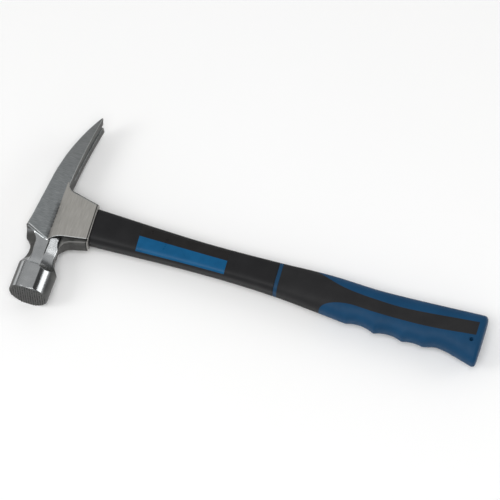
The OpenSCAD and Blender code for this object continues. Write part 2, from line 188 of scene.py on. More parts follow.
def setCamera():
    # stands back from the target by the distance, along the direction of azimuth and elevation
    cam = bpy.data.cameras.new("camera")
    cam.lens, cam.sensor_width = view["lens"], 36.0
    cam.clip_start, cam.clip_end = 0.05, 60.0
    obj = bpy.data.objects.new("camera", cam)
    bpy.context.scene.collection.objects.link(obj)
    a, e = math.radians(view["azimuth"]), math.radians(view["elevation"])
    back = Vector((math.sin(a) * math.cos(e), -math.cos(a) * math.cos(e), math.sin(e)))
    obj.location = (Vector(view["target"]) + back * view["distance"]) * mm
    obj.rotation_euler = (-back).to_track_quat("-Z", "Y").to_euler()
    bpy.context.scene.camera = obj
    print("camera set")


studio = {"floor": 0.98, "floorSize": 60.0,
          "ahead": [(0.0, 0.8), (0.2, 0.7), (0.5, 0.55), (0.87, 0.54), (1.0, 0.58)],  # height, level
          "left": [(0.0, 0.12), (0.08, 0.14), (0.2, 0.46), (0.5, 0.52), (0.87, 0.54), (1.0, 0.58)],
          "right": [(0.0, 0.12), (0.14, 0.14), (0.27, 0.6), (0.5, 0.6), (0.62, 0.07), (0.88, 0.06),
                    (0.93, 0.5), (1.0, 0.58)],
          "leftTo": (-0.36, -0.2), "rightFrom": (0.18, 0.32),  # X of the direction where the skies blend
          "lamps": [  # name, place, size, watts
              ("frontBox", (0.15, -1.0, 2.5), 1.6, 33.5),
              ("leftBox", (-1.7, -1.1, 1.7), 1.1, 12.5),
              ("rightBox", (1.69, 0.88, 0.97), 1.2, 6.3)]}


def setStudio():
    # flat floor in a few steps, three round lamps and the sky
    size = studio["floorSize"]
    u = np.linspace(-size / 2, size / 2, 9)
    gx, gy = np.meshgrid(u, u, indexing="ij")
    points = np.stack([gx, gy, 0 * gx - 0.0002], axis=-1).reshape(-1, 3)  # just under the hammer
    mesh = bpy.data.meshes.new("floor")
    mesh.from_pydata(points.tolist(), [], gridFaces(len(u), len(u))[:, ::-1].tolist())
    floor = bpy.data.objects.new("floor", mesh)
    bpy.context.scene.collection.objects.link(floor)
    paper = Finish("paleFloor")
    tint = paper.span(paper.noise(paper.coords, 3.0), 0.3, 0.7, 0.0, 1.0)
    clean = studio["floor"]
    dusty = clean * 0.99
    colour = paper.mix(tint, (clean, clean, clean, 1), (dusty, dusty, clean * 0.985, 1))
    mesh.materials.append(paper.put(**{"Base Color": colour, "Roughness": 0.9, "Specular IOR Level": 0.0}))

    # the sky is a pale dome, dark along the horizon at both sides and in a gap high on the right
    world = bpy.data.worlds.new("studio")
    bpy.context.scene.world = world
    world.use_nodes = True
    nodes, links = world.node_tree.nodes, world.node_tree.links
    where = nodes.new("ShaderNodeTexCoord")
    split = nodes.new("ShaderNodeSeparateXYZ")
    links.new(where.outputs["Generated"], split.inputs[0])

    def ramp(way):
        made = nodes.new("ShaderNodeValToRGB")
        links.new(split.outputs["Z"], made.inputs["Fac"])
        for _ in studio[way][2:]:
            made.color_ramp.elements.new(0.5)
        for spot, (high, level) in zip(made.color_ramp.elements, studio[way]):
            spot.position, spot.color = high, (level, level, level, 1)
        return made.outputs["Color"]

    def blend(first, second, a, b):
        # from the first to the second as the direction's X goes from a to b
        share = nodes.new("ShaderNodeMapRange")
        share.inputs["From Min"].default_value, share.inputs["From Max"].default_value = a, b
        links.new(split.outputs["X"], share.inputs["Value"])
        made = nodes.new("ShaderNodeMix")
        made.data_type = "RGBA"
        for spot, value in ((0, share.outputs[0]), (6, first), (7, second)):
            links.new(value, made.inputs[spot])
        return made.outputs[2]

    sky = blend(ramp("left"), ramp("ahead"), *studio["leftTo"])
    sky = blend(sky, ramp("right"), *studio["rightFrom"])
    links.new(sky, nodes["Background"].inputs["Color"])

    for name, place, size, watts in studio["lamps"]:
        lamp = bpy.data.lights.new(name, "AREA")
        lamp.shape, lamp.size, lamp.energy = "DISK", size, watts
        obj = bpy.data.objects.new(name, lamp)
        obj.location = place
        obj.rotation_euler = (-Vector(place)).to_track_quat("-Z", "Y").to_euler()
        bpy.context.scene.collection.objects.link(obj)
    bpy.context.scene.view_settings.view_transform = "Standard"
    print("studio set")


head = {"pitch": 0.5, "joinY": -38.3, "sink": 0.12,
        "faceY": -80.0, "pollR": 17.6, "pollFlat": 17.0, "faceBevel": 1.0,
        "neckWide": 12.0, "neckThin": 9.5, "neckHollow": 14.0, "neckY": -40.48, "neckStem": 6.0,
        "topReach": 18.2, "topLean": 6.6, "crown": 1.4, "crownHalf": 5.5, "clawHalf": 13.4,
        "railDeep": 25.79, "cheekHalf": 10.6, "cheekLean": 1.0, "cheekX": -2.2, "valleyTurn": 8.6,
        "faceTaper": 9.5, "clawTaper": 13.5,
        "wallClaw": 2.0, "wallTaper": 15.0, "wallHalf": 8.4, "wallX": 11.2, "wallHollow": 11.07,
        "wallFoot": 3.6, "wallFan": 31.0, "mouthX": 33.6, "mouthLean": 2.5,
        "notchR": 18.0, "notchAt": (14.975, -38.267), "notchX": 0.6, "notchY": -27.434, "rise": 22.0,
        "clawReach": 98.8, "bendY": 30.0, "clawR": 176.0, "rootX": 2.0, "rootLean": 3.0, "underR": 600.0,
        "filletR": 8.0, "filletX": 10.0, "filletY": 30.49, "slotY": 40.0, "slotRoot": 1.2, "slotTip": 3.1,
        "tipSlant": 1.3, "eyeHalf": (13.0, 7.9), "eyeR": 5.7,
        # turn, reach, start, straight length, hollow to the poll, turn from the last flat, rounding
        "neckFlats": [
            (0, 12.0, -40.5, 60.0, 20.0, 0, 0.0), (60, 9.15, -34.0, 60.0, 39.0, 60, 3.0),
            (90, 9.5, -34.0, 60.0, 36.0, 30, 4.5), (135, 12.9, -40.5, 8.0, 23.0, 45, 2.0),
            (180, 12.0, -40.5, 0.0, 20.0, 45, 1.2)],
        # place and reach of the neck's outer side, from the hollow up to where it ends under the crown
        "neckSide": [(-40.48, -19.0), (-27.434, -19.9), (-18.41, -21.74), (-17.4, -21.2), (-13.0, -20.4)]}

# how far each edge or inner corner of the head is rounded
rounding = {"pollFlat": 3.0, "bevel": 0.6, "face": 0.5, "neckSide": 0.8, "shoulder": 0.5, "stem": 0.5,
            "stemOuter": 1.7, "crown": 12.0, "rail": 0.8, "railFoot": 0.5, "valley": 6.0, "rise": 0.9,
            "notch": 0.6, "claw": 0.7, "wallEnd": 2.4, "wallHollow": 0.6, "wallRim": 1.8, "wallFoot": 0.5,
            "mouth": 0.5, "eye": 0.6, "slot": 0.5, "tips": 0.4}


def both(a, b, r, apart=90.0):
    # where two solids overlap, with the edge between them rounded to r;
    # apart is the angle between their normals
    c = math.cos(math.radians(apart))
    u, v = a + r, b + r
    arc = np.sqrt(np.maximum(u * u + v * v - 2 * c * u * v, 0) / (1 - c * c)) - r
    return np.where((u > c * v) & (v > c * u), arc, np.maximum(a, b))


def either(a, b, r, apart=90.0):
    # two solids together, with the corner between them filled to r
    return -both(-a, -b, r, apart)


def tan(deg):
    return math.tan(math.radians(deg))


def bent(u, v, turn, r):
    # cut with a straight edge that ends in an arc of radius r about the origin;
    # positive where metal is gone
    c, s = math.cos(math.radians(turn)), math.sin(math.radians(turn))
    along, across = u * c + v * s, v * c - u * s
    return r - np.where(along > 0, across, np.hypot(along, across))


def stemField(x, y, z, s):
    # round bar with a shallow flat above and below; the neck is what is left of it
    # when each of its flats is hollowed by one circle towards the poll and, past its straight length,
    # by a smaller one towards the head
    h, soft = head, rounding
    r = np.hypot(x, z)
    bar = both(r - h["pollR"], z - h["pollFlat"], soft["pollFlat"] * s, 15)
    bevel = (r + h["faceY"] - y - h["pollR"] + h["faceBevel"]) / math.sqrt(2)
    bar = both(both(bar, bevel, soft["bevel"] * s, 45), h["faceY"] - y, soft["face"] * s, 45)
    neck = None
    for turn, reach, start, stem, pollSide, apart, blunt in h["neckFlats"]:
        a = math.radians(turn)
        v = y - np.clip(y, start, start + stem)
        hollow = np.where(v < 0, pollSide, h["neckHollow"])
        u = x * math.cos(a) + z * math.sin(a) - reach - hollow
        flat = np.maximum(hollow - np.hypot(u, v), u)
        neck = flat if neck is None else both(neck, flat, blunt * s, apart)
    outer = np.interp(y, *zip(*h["neckSide"])) - x
    upper = np.maximum(both(neck, outer, soft["neckSide"] * s), y - h["neckSide"][-1][0])
    return np.where(y < h["neckY"], both(bar, neck, soft["shoulder"] * s, 45), upper)


def railField(x, y, z, s):
    # crowned top with sloping sides, carried straight and then round the arc of the claw
    h, soft = head, rounding
    c, n = math.cos(math.radians(h["topLean"])), math.sin(math.radians(h["topLean"]))
    deep, along = (x + h["topReach"]) * c - y * n, (x + h["topReach"]) * n + y * c
    past = np.maximum(along - h["bendY"] / c, 0)
    deep = h["clawR"] - np.hypot(h["clawR"] - deep, past)
    edge, run, drop = h["clawHalf"], h["clawHalf"] - h["crownHalf"], h["clawHalf"] - h["neckThin"]
    slope = (h["crown"] * (z - edge) - run * deep) / math.hypot(run, h["crown"])
    side = (drop * deep + h["railDeep"] * (z - edge)) / math.hypot(drop, h["railDeep"])
    top = both(-h["crown"] - deep, slope, soft["crown"] * s, 10)
    return both(both(top, side, soft["rail"] * s), deep - h["railDeep"], soft["railFoot"] * s)


def headParts(x, y, z, s=1.0):
    # fields of the head's forms and of the whole, below zero inside the metal;
    # s scales every rounding, so s near 0 gives the sharp forms
    h, soft = head, rounding
    z = np.abs(z)
    a = math.radians(h["cheekLean"])
    rail = railField(x, y, z, s)
    cheek = z * math.cos(a) - y * math.sin(a) - h["cheekHalf"]
    cheek = np.maximum(np.maximum(cheek, h["cheekX"] - x), np.maximum(h["notchY"] - y, y - h["filletY"]))
    body = either(rail, cheek, soft["valley"] * s, h["valleyTurn"])
    rise = (h["notchY"] + (h["notchX"] - x) * tan(h["rise"]) - y) * math.cos(math.radians(h["rise"]))
    body = both(body, np.maximum(rise, h["notchY"] - y), soft["rise"] * s)
    notch = bent(x - h["notchAt"][0], y - h["notchAt"][1], h["faceTaper"], h["notchR"])
    body = both(body, notch, soft["notch"] * s)
    fillet = bent(x - h["filletX"], h["filletY"] - y, h["clawTaper"], h["filletR"])
    ux = h["rootX"] + h["underR"] * math.cos(math.radians(h["rootLean"]))
    uy = h["filletY"] - h["underR"] * math.sin(math.radians(h["rootLean"]))
    under = h["underR"] - np.hypot(x - ux, y - uy)
    body = both(body, np.where(y > h["filletY"], under, fillet), soft["claw"] * s)

    # wall of the socket under the cheeks, which fans out of the neck's edge by one hollow
    wall = both(z - h["wallHalf"], np.where(y < 0, h["wallX"], 0.0) - x, soft["wallEnd"] * s)
    hx, hy = x - h["neckWide"] - h["wallHollow"], y - h["neckY"] - h["neckStem"]
    fan = (z - h["wallFoot"] - hy * tan(h["wallFan"])) * math.cos(math.radians(h["wallFan"]))
    low = bent(hx, hy, h["wallTaper"], h["wallHollow"])
    low = both(low, np.maximum(fan, -hy), soft["wallHollow"] * s)
    high = bent(x - h["filletX"], h["filletY"] + h["wallClaw"] - y, h["clawTaper"], h["filletR"])
    wall = both(wall, np.maximum(low, np.maximum(high, y - h["filletY"])), soft["wallRim"] * s)
    mouth = (x + tan(h["mouthLean"]) * y - h["mouthX"]) * math.cos(math.radians(h["mouthLean"]))
    whole = both(either(body, wall, soft["wallFoot"] * s), mouth, soft["mouth"] * s)

    stem = stemField(x, y, z, s)
    whole = either(whole, stem, (soft["stem"] + soft["stemOuter"] * ease(1.5, -3, x)) * s)
    qy, qz = np.abs(y) - h["eyeHalf"][0] + h["eyeR"], z - h["eyeHalf"][1] + h["eyeR"]
    eye = np.hypot(np.maximum(qy, 0), np.maximum(qz, 0)) + np.minimum(np.maximum(qy, qz), 0) - h["eyeR"]
    whole = both(whole, -eye, soft["eye"] * s)
    gap = h["slotRoot"] + (h["slotTip"] - h["slotRoot"]) * (y - h["slotY"]) / (h["clawReach"] - h["slotY"])
    slot = np.where(y > h["slotY"], z - gap, np.hypot(z, y - h["slotY"]) - h["slotRoot"])
    whole = both(whole, -slot, soft["slot"] * s)
    tips = y - h["clawReach"] + h["tipSlant"] * (1 - z / h["clawHalf"])
    whole = both(whole, tips, soft["tips"] * s)
    return {"rail": rail, "cheek": cheek, "body": body, "wall": wall, "stem": stem, "whole": whole}


def headField(x, y, z):
    # the whole head alone
    return headParts(x, y, z)["whole"]


def slopes(field, p, step=0.02):
    # gradient of a field at points, by differences
    out = np.empty_like(p)
    for k in range(3):
        d = np.zeros(3)
        d[k] = step
        hi, lo = p + d, p - d
        out[:, k] = (field(*hi.T) - field(*lo.T)) / (2 * step)
    return out


def skinField(field, low, high, pitch, rounds=3):
    # a net over the zero level of a field: one point in each cell that the level crosses,
    # one quad round each grid edge that it cuts; then the points are drawn onto the level
    axes = [np.arange(a, b + pitch, pitch) for a, b in zip(low, high)]
    f = field(axes[0][:, None, None], axes[1][None, :, None], axes[2][None, None, :])
    inside = f < 0
    shape = np.array(f.shape)
    offs = [(i, j, k) for i in (0, 1) for j in (0, 1) for k in (0, 1)]
    part = lambda a, o: a[o[0]:shape[0] - 1 + o[0], o[1]:shape[1] - 1 + o[1], o[2]:shape[2] - 1 + o[2]]
    count = sum(part(inside, o).astype(np.int8) for o in offs)
    cell = np.argwhere((count > 0) & (count < 8))
    index = np.full(shape - 1, -1, np.int64)
    index[tuple(cell.T)] = np.arange(len(cell))
    value = np.stack([f[tuple((cell + o).T)] for o in offs], axis=1)
    total, hits = np.zeros((len(cell), 3)), np.zeros((len(cell), 1))
    for m in range(8):
        for n in range(m + 1, 8):
            if sum(abs(p - q) for p, q in zip(offs[m], offs[n])) != 1:
                continue
            va, vb = value[:, m], value[:, n]
            cut = (va < 0) != (vb < 0)
            t = np.where(cut, va / np.where(cut, va - vb, 1), 0)[:, None]
            a, b = np.array(offs[m]), np.array(offs[n])
            total += np.where(cut[:, None], a + t * (b - a), 0)
            hits += cut[:, None]
    p = np.array(low) + (cell + total / hits) * pitch

    quads = []
    for k in range(3):
        u, v = (k + 1) % 3, (k + 2) % 3
        ahead = np.moveaxis(inside, k, 0)
        flips = np.moveaxis(ahead[:-1] != ahead[1:], 0, k)
        at = np.argwhere(flips)
        at = at[(at[:, u] > 0) & (at[:, v] > 0)]
        du, dv = np.eye(3, dtype=int)[u], np.eye(3, dtype=int)[v]
        ring = [index[tuple((at - a * du - b * dv).T)] for a, b in ((1, 1), (0, 1), (0, 0), (1, 0))]
        quad = np.stack(ring, axis=1)
        out = inside[tuple(at.T)]
        quads.append(np.where(out[:, None], quad, quad[:, ::-1]))
    quads = np.concatenate(quads)

    def draw(p, turns):
        for _ in range(turns):
            g = slopes(field, p)
            step = -field(*p.T)[:, None] * g / np.maximum((g * g).sum(axis=1, keepdims=True), 0.05)
            p = p + np.clip(step, -0.5 * pitch, 0.5 * pitch)
        return p

    p = draw(p, 4)
    for _ in range(rounds):  # even out the net along the surface
        mean, n = np.zeros_like(p), np.zeros((len(p), 1))
        for k in range(4):
            for j in (1, 3):
                np.add.at(mean, quads[:, k], p[quads[:, (k + j) % 4]])
                np.add.at(n, quads[:, k], 1)
        g = slopes(field, p)
        g /= np.maximum(np.linalg.norm(g, axis=1, keepdims=True), 1e-6)
        move = mean / n - p
        move -= (move * g).sum(axis=1, keepdims=True) * g
        p = draw(p + 0.5 * move, 2)
    g = slopes(field, p)
    return p, quads, g / np.maximum(np.linalg.norm(g, axis=1, keepdims=True), 1e-6)


def steelFinish():
    # brushed facets, ground cheeks, polished stem and forged hollows, with painted shade and highlights,
    # mixed by the piece's attributes
    s = Finish("forgedSteel")
    cheek, polishedAndLit, smooth, edge, creaseShade, valley, scale = (
        s.attribute(n) for n in ("cheek", "polishedAndLit", "smooth", "edge", "creaseShade", "valley", "scale"))
    strokes = s.noise(s.stretched((2600, 90, 900)), 1.0, 4.0)
    cross = s.noise(s.stretched((160, 2200, 700), (0, 0, 0.15)), 1.0, 4.0)
    lumps = s.noise(s.coords, 140, 3.0)
    cloud = s.noise(s.coords, 55, 4.0, 0.6)
    facet = s.mix(s.span(cross, 0.3, 0.7, 0, 1), (0.215, 0.231, 0.237, 1), (0.36, 0.377, 0.383, 1))
    along = s.span(s.dot((0.0, 1.0, 0.0)), 0.015, 0.085, 0, 0.6)
    facet = s.mix(along, facet, (0.18, 0.181, 0.178, 1))  # duller towards the claw's tips
    ground = s.mix(s.span(strokes, 0.3, 0.7, 0, 1), (0.40, 0.387, 0.360, 1), (0.54, 0.527, 0.496, 1))
    polished = s.mix(s.span(cloud, 0.35, 0.7, 0, 1), (0.42, 0.435, 0.445, 1), (0.535, 0.548, 0.552, 1))
    forged = s.mix(s.span(lumps, 0.3, 0.7, 0, 1), (0.050, 0.050, 0.048, 1), (0.115, 0.114, 0.11, 1))
    # the polished colour is stronger on faces turned up, a painted highlight
    colour = s.mix(polishedAndLit, s.mix(cheek, facet, ground), polished)
    # painted shade: a dark band along the valley between side facet and cheek, broken up by noise
    valleyShade = s.math("MULTIPLY", valley, s.span(s.noise(s.coords, 420, 4.0, 0.7), 0.32, 0.58, 0.4, 1.0))
    colour = s.mix(valleyShade, colour, (0.055, 0.055, 0.055, 1))
    colour = s.mix(scale, colour, forged)
    # pale edge line, partly wear and partly painted highlight
    colour = s.mix(s.span(edge, 0, 1, 0, 0.5), colour, (0.62, 0.62, 0.60, 1))
    # painted shade darkens the inner corners where the body meets the wall and the neck
    colour = s.mix(s.span(creaseShade, 0, 1, 0, 0.95), colour, (0.022, 0.021, 0.020, 1))
    # painted shade as a dark line and painted highlight as a pale rim round the socket's mouth, by the
    # distance behind its plane
    behind = s.math("SUBTRACT", (head["mouthX"] + toFrame[0] + tan(head["mouthLean"]) * toFrame[1]) * mm,
                    s.dot((1.0, tan(head["mouthLean"]), 0.0)))
    colour = s.mix(s.span(behind, 0.0020, 0.0016, 0, 0.92), colour, (0.022, 0.021, 0.020, 1))
    colour = s.mix(s.span(behind, 0.0009, 0.0006, 0, 1), colour, (0.42, 0.41, 0.39, 1))
    grain = s.mix(cheek, cross, strokes)
    rough = s.mix(smooth, s.span(grain, 0.25, 0.75, 0.30, 0.46), s.span(cloud, 0.25, 0.75, 0.13, 0.21))
    rough = s.mix(scale, rough, s.span(lumps, 0.25, 0.75, 0.42, 0.58))
    relief = s.bump(lumps, 0.10, 0.0006)
    relief = s.bump(grain, 0.12, 0.00012, relief)
    return s.put(**{"Base Color": colour, "Metallic": 1.0, "Roughness": rough, "Normal": relief})


def finishSteel(piece, p, normals):
    # where each finish, and the painted shade and highlights, lie on the steel, as shares from 0 to 1
    h = head
    x, y, z = p.T
    nx, nz = normals[:, 0], normals[:, 2]
    form = headParts(x, y, z)
    collar = np.clip(1.5 - np.abs(form["wall"]) / 0.4, 0, 1) * (y > -34)
    # an edge is lightened, partly as wear and partly as painted highlight, where its rounding lies inside
    # the sharp form
    edge = np.clip(-headParts(x, y, z, 0.001)["whole"] / 0.22, 0, 1) * (1 - 0.8 * collar)
    foot = np.minimum(form["wall"], form["stem"])
    # painted shade in the inner corners between the body and the wall or neck
    creaseShade = np.clip(1.15 - np.maximum(np.abs(form["body"]), np.abs(foot)) / 0.9, 0, 1)
    giveAttribute(piece, "creaseShade", creaseShade * ease(-0.5, 1.5, x) * (1 - edge))
    level = h["cheekHalf"] + tan(h["cheekLean"]) * y - np.abs(z)
    giveAttribute(piece, "cheek", ((np.abs(level) < 0.1) & (np.abs(nz) > 0.99)).astype(float))
    # painted shade fades with the distance from the valley between side facet and cheek
    far = np.maximum(form["rail"], form["cheek"]) / math.sin(math.radians(h["valleyTurn"]))
    valley = np.exp(-np.maximum(far, 0) / 3.4) * np.where(form["cheek"] > 0.01, 1.0, 0.4)
    valley *= ease(18, 2, y) * ease(-6, -4, x) * ((y > h["notchY"]) & (np.abs(z) > 9))
    giveAttribute(piece, "valley", valley)
    # painted light: stem and poll faces that turn away from up get less polished colour, and the poll's
    # flanks get the dark colour, as painted reflection and shade
    litTop, poll = ease(0.56, 0.74, np.abs(nz)), ease(-48, -52, y)
    giveAttribute(piece, "edge", edge * (1 - poll * ease(-78, -77, y)))
    onStem = np.clip(1.3 - np.abs(form["stem"]) / 0.4, 0, 1) * ease(-13, -15, y) * (1 - collar)
    giveAttribute(piece, "polishedAndLit", onStem * (0.15 + 0.85 * litTop))
    giveAttribute(piece, "smooth", onStem)
    # dark forged colour round the collar; the same colour goes, by the way they face, onto side faces and
    # the neck's hollow, and onto the poll's flanks as painted shade
    side = ease(0.55, 0.25, np.abs(nz)) * ease(-0.75, -0.45, nx)
    hollow = ease(-0.35, -0.6, nx) * ease(-17, -19, y)
    scale = np.maximum(np.maximum(side, hollow) * (1 - poll), collar)
    giveAttribute(piece, "scale", np.maximum(scale, 0.9 * (1 - litTop) * poll))


def makeHead():
    # head and claw; below the join the net sinks a little, under the poll's own surface
    h = head
    steel = steelFinish()

    def upper(x, y, z):
        below = h["sink"] * ease(h["joinY"] + 0.1, h["joinY"] - 0.9, y)
        return np.maximum(headField(x, y, z) + below, h["joinY"] - 2.2 - y)

    low, high = (-23.5, h["joinY"] - 3.2, -14.4), (36.0, h["clawReach"] + 1.2, 14.4)
    p, quads, normals = skinField(upper, low, high, h["pitch"])
    piece = makePiece("hammerHead", p, quads, np.zeros((0, 3), int), steel, "head_steel", "head", normals)
    finishSteel(piece, p, normals)
    return steel


def makePoll(steel):
    # rings about the poll's axis, each point of them drawn out to the zero level of the stem's field
    h = head
    stem = lambda x, y, z: stemField(x, y, np.abs(z), 1.0)
    # the rings lie closest at the bevel and at the shoulder
    rim = np.array([0.02, 0.08, 0.16, 0.26, 0.38, 0.52, 0.7, 0.9, 1.15, 1.45, 1.8])
    ys = np.concatenate([h["faceY"] + rim, np.arange(-77.5, -60.2, 0.8), np.arange(-60, -50.4, 0.28),
                         np.arange(-50.2, h["joinY"] + 0.4, 0.5), [h["joinY"] + 0.8]])
    y, turn = np.meshgrid(ys, np.linspace(0, 2 * math.pi, 400, endpoint=False), indexing="ij")
    c, n = np.cos(turn), np.sin(turn)
    near, far = np.full(y.shape, 4.0), np.full(y.shape, 19.5)
    for _ in range(26):  # halve the span that holds the surface
        mid = (near + far) / 2
        metal = stem(mid * c, y, mid * n) < 0
        near, far = np.where(metal, mid, near), np.where(metal, far, mid)
    r = near - h["sink"] * ease(h["joinY"] - 0.1, h["joinY"] + 0.8, y)

    def ring(r, y):
        return np.stack([r * c[0], r * 0 + y, r * n[0]], axis=-1)[None]

    first = [ring(r[0] * f, h["faceY"]) for f in (0, 0.96)]
    p = np.concatenate(first + [np.stack([r * c, y, r * n], axis=-1), ring(r[-1] * 0, ys[-1])])
    faces = gridFaces(*p.shape[:2], closeCols=True)[:, ::-1]
    p, quads, tris = weld(p.reshape(-1, 3), faces)
    normals = slopes(stem, p)
    normals /= np.maximum(np.linalg.norm(normals, axis=1, keepdims=True), 1e-6)
    normals[p[:, 1] < h["faceY"] + 0.001] = (0, -1, 0)
    piece = makePiece("pollBar", p, quads, tris, steel, "head_steel", None, normals)
    finishSteel(piece, p, normals)


waffle = {"radius": 16.5, "pitch": 2.2, "turn": 0.0, "deep": 0.8, "proud": 0.35, "top": 0.3, "grid": 0.18}


def faceSteel():
    # dark in the grooves, worn bright on the tips of the pyramids
    s = Finish("milledFace")
    cloud = s.noise(s.coords, 300, 4.0)
    rubbed = s.span(s.noise(s.coords, 420, 3.0, 0.7), 0.35, 0.65, 0.0, 1.0)
    worn = s.math("MULTIPLY", s.attribute("tip"), rubbed)
    colour = s.mix(s.span(cloud, 0.3, 0.7, 0, 1), (0.008, 0.008, 0.008, 1), (0.034, 0.034, 0.033, 1))
    colour = s.mix(worn, colour, (0.16, 0.16, 0.157, 1))
    return s.put(**{"Base Color": colour, "Metallic": 1.0, "Roughness": s.span(cloud, 0.3, 0.7, 0.36, 0.52),
                    "Normal": s.bump(s.noise(s.coords, 1400, 2.0), 0.15, 0.0001)})


def makeFace():
    # disc in polar steps; its height is a field of blunt pyramids,
    # the lower of two saw waves that run across each other
    w = waffle
    rings = np.concatenate([np.arange(0, w["radius"], w["grid"]), [w["radius"], w["radius"] + 0.02, 0.0]])
    turns = np.linspace(0, 2 * math.pi, 480, endpoint=False)
    r, a = np.meshgrid(rings, turns, indexing="ij")
    x, z = r * np.cos(a), r * np.sin(a)
    wave = lambda turn: np.abs((r * np.cos(a - math.radians(turn)) / w["pitch"]) % 1.0 - 0.5) * 2
    tall = np.minimum(np.minimum(wave(w["turn"]), wave(w["turn"] + 90)), 1 - w["top"]) / (1 - w["top"])
    out = w["deep"] * tall
    out[-2:] = -0.8  # the rim goes down into the poll, and the back is closed there
    root = head["faceY"] + w["deep"] - w["proud"]
    y = root - out
    faces = gridFaces(len(rings), len(turns), closeCols=True)[:, ::-1]
    p, quads, tris = weld(np.stack([x, y, z], axis=-1).reshape(-1, 3), faces)
    piece = makePiece("strikingFace", p, quads, tris, faceSteel(), "head_steel")
    giveAttribute(piece, "tip", ease(0.6, 1.0, (root - p[:, 1]) / w["deep"]))


handle = {"lean": 2.5, "square": (250.0, 353.5), "mouth": 33.6, "band": 201.6, "bandEnd": 205.0,
          "butt": 388.4, "buttRound": 4.0,
          "back": [[33.6, 16.3], [132, 13.4], [201.6, 14.6], [250, 16.9], [296, 15.8], [388.4, 20.4]],
          "belly": [[33.6, 16.5], [132, 12.9], [201.6, 13.7], [270, 20.4], [295.5, 22.2], [321, 22.2],
                    [339.5, 21.3], [353.5, 18.3], [388.4, 27.4]],
          "side": [[33.6, 9.4], [132, 8.9], [201.6, 10], [250, 12], [296, 12], [388.4, 13]],
          "power": [[33.6, 4], [132, 4], [201.6, 4], [250, 2.8], [296, 2.8], [388.4, 2.8]],
          "ridges": [270, 295.5, 321, 339.5], "fingerR": 28.0, "core": (10.0, 6.2)}


def leanAt(x):
    # slope of the sections, which dies out along the grip so that the butt is square
    a, b = handle["square"]
    return tan(handle["lean"]) * np.clip((b - x) / (b - a), 0, 1)


def bellyAt(x):
    # belly line less an arc for each finger, averaged over a short run so that the ridges are blunt
    h = handle

    def plain(x):
        y = smoothCurve(h["belly"], x)
        for a, b in zip(h["ridges"][:-1], h["ridges"][1:]):
            half = (b - a) / 2
            inside = np.maximum(h["fingerR"] ** 2 - (x - a - half) ** 2, h["fingerR"] ** 2 - half * half)
            y = y - np.sqrt(inside) + math.sqrt(h["fingerR"] ** 2 - half * half)
        return y

    near = ease(262, 268, x) * (1 - ease(342, 350, x)) * 1.1
    spread = (-1.0, -0.5, 0.0, 0.5, 1.0)
    share = (0.12, 0.24, 0.28, 0.24, 0.12)
    return sum(w * plain(x + d * near) for d, w in zip(spread, share))


def sectionAt(xs, psi, inset=0.0):
    # superellipse |y/back|^n + |z/side|^n = 1, with its own reach for the belly; psi is 0 at the back
    h = handle
    n = smoothCurve(h["power"], xs)
    c, s = np.cos(psi), np.sin(psi)
    k = (np.abs(c) ** n + np.abs(s) ** n) ** (-1 / n)
    reach = np.where(c > 0, smoothCurve(h["back"], xs), bellyAt(xs)) - inset
    y, z = c * k * reach, s * k * (smoothCurve(h["side"], xs) - inset)
    return np.stack([xs - leanAt(xs) * y, y, z], axis=-1)


def turnOf(y, xs):
    # psi of the section point at height y
    h = handle
    n = smoothCurve(h["power"], xs)
    f = np.clip(np.abs(y) / np.where(y > 0, smoothCurve(h["back"], xs), bellyAt(xs)), 0, 1)
    return np.arctan2((1 - f ** n) ** (1 / n), np.sign(y) * f)


def plasticFinish(name, low, high, rough, grain):
    # satin plastic: slow drift of colour, fine grain and scuffs along the handle
    s = Finish(name)
    cloud = s.noise(s.coords, 60, 3.0)
    fine = s.noise(s.coords, grain, 2.0, 0.6)
    scuff = s.noise(s.stretched((30, 500, 300)), 1.0, 4.0)
    return s.put(**{"Base Color": s.mix(s.span(cloud, 0.3, 0.7, 0, 1), low, high),
                    "Roughness": s.span(scuff, 0.3, 0.7, rough - 0.07, rough + 0.07),
                    "Specular IOR Level": 0.12,
                    "Normal": s.bump(scuff, 0.05, 0.0002, s.bump(fine, 0.22, 0.00012))})


def makeTube(name, rows, material, slot, replaced):
    # rows of (place, inset): outer skin, closed by a bore for the core
    h = handle
    psi = np.linspace(0, 2 * math.pi, 144, endpoint=False)
    xs, inset = np.array(rows).T
    outer = sectionAt(*np.meshgrid(xs, psi, indexing="ij"), inset[:, None])
    c, s = np.cos(psi), np.sin(psi)
    k = (np.abs(c) ** 4 + np.abs(s) ** 4) ** -0.25
    y, z = c * k * h["core"][0], s * k * h["core"][1]
    bore = np.stack([np.stack([x - leanAt(x) * y, y, z], axis=-1) for x in (xs[-1], xs[0])])
    p = np.concatenate([outer, bore])
    quads = gridFaces(len(p), len(psi), closeRows=True, closeCols=True)
    return makePiece(name, *weld(p.reshape(-1, 3), quads), material, slot, replaced)


def lipRows(x0, x1, r, step):
    # places from x0 to x1 with both end edges rounded to r
    a = np.radians(np.linspace(0, 90, 6))
    first = np.stack([x0 + r * (1 - np.cos(a)), r * (1 - np.sin(a))], axis=1)
    last = np.stack([x1 - r * (1 - np.cos(a[::-1])), r * (1 - np.sin(a[::-1]))], axis=1)
    mid = np.arange(x0 + r + step, x1 - r - step / 2, step)
    return np.concatenate([first, np.stack([mid, 0 * mid], axis=1), last])


